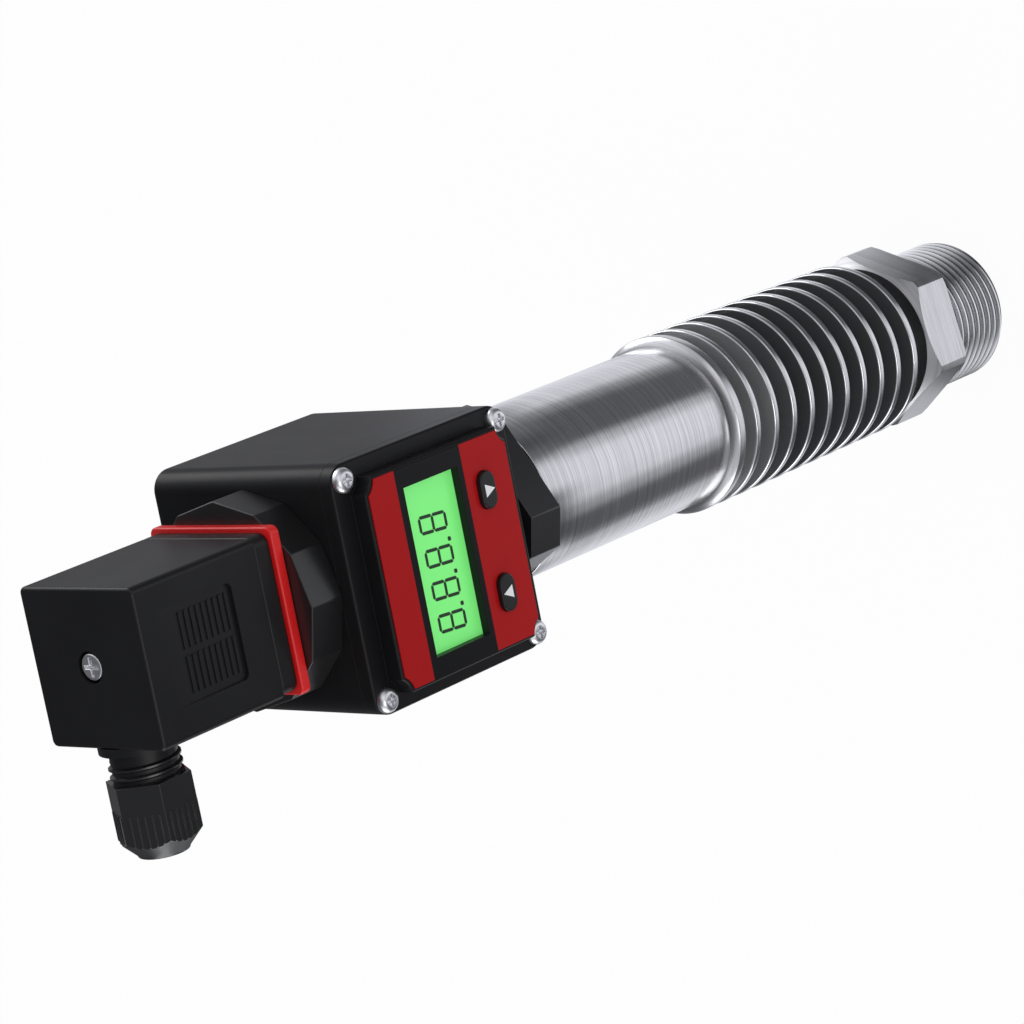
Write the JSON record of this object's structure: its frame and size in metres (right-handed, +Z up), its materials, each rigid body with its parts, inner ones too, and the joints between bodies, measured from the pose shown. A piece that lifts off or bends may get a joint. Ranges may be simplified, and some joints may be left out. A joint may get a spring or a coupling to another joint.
{
  "type": "pressure sensor",
  "caption": "Pressure sensor with a male process thread, hexagon, cooling fins, steel tube, side display with buttons, and a square cable plug with a side gland.",
  "frame": {"origin": "on the sensor's axis, in the plane of the shoulder that seals against the process wall", "axes": "+Z runs up the axis from the thread to the plug, the display faces -Y, the cable gland faces -X"},
  "size_m": [0.0588, 0.0507, 0.2588],
  "materials": {
    "brushed_steel": "fine brush lines round the axis",
    "machined_steel": "turned",
    "screw_steel": "bright, slightly worn",
    "collar_black": "satin, moulded",
    "housing_black": "fine grain",
    "plug_black": "fine grain",
    "button_black": "smooth, with a light arrow",
    "seal_red": "glossy silicone",
    "seal_black": "smooth",
    "label_red": "printed film, red and black fields",
    "screen_glass": "lit green with dark digits",
    "light_guide": "milky",
    "board_green": "circuit board",
    "switch_grey": "moulded",
    "contact_metal": "plated",
    "ring_metal": "turned"
  },
  "bodies": {
    "sensor": {"amplifier_board": "board_green", "board_screws": "screw_steel", "board_spacer": "switch_grey", "button_switches": "switch_grey", "cell_retainer": "machined_steel", "cell_ring": "seal_black", "centre_screw": "screw_steel", "contact_blades": "contact_metal", "cover_gasket": "seal_black", "cover_screws": "screw_steel", "display_board": "board_green", "display_cover": "housing_black", "display_housing": "housing_black", "display_screen": "screen_glass", "gland_grommet": "seal_black", "gland_nut": "plug_black", "gland_washer": "machined_steel", "label_film": "label_red", "lower_collar": "collar_black", "lower_lock_ring": "ring_metal", "plug_base": "plug_black", "plug_hood": "plug_black", "pressure_cell": "machined_steel", "process_fitting": "brushed_steel", "profile_gasket": "seal_red", "screen_backlight": "light_guide", "screw_washer": "machined_steel", "terminal_insert": "plug_black", "tube_casing": "brushed_steel", "upper_collar": "collar_black", "upper_lock_ring": "ring_metal"},
    "button_up": {"button_up": "button_black"},
    "button_down": {"button_down": "button_black"}
  },
  "joints": [
    {"name": "press_up", "type": "slide", "parent": "sensor", "child": "button_up", "axis": [0, 1, 0], "range_m": [0, 0.0005], "stiffness_N_per_m": 1500},
    {"name": "press_down", "type": "slide", "parent": "sensor", "child": "button_down", "axis": [0, 1, 0], "range_m": [0, 0.0005], "stiffness_N_per_m": 1500}
  ]
}
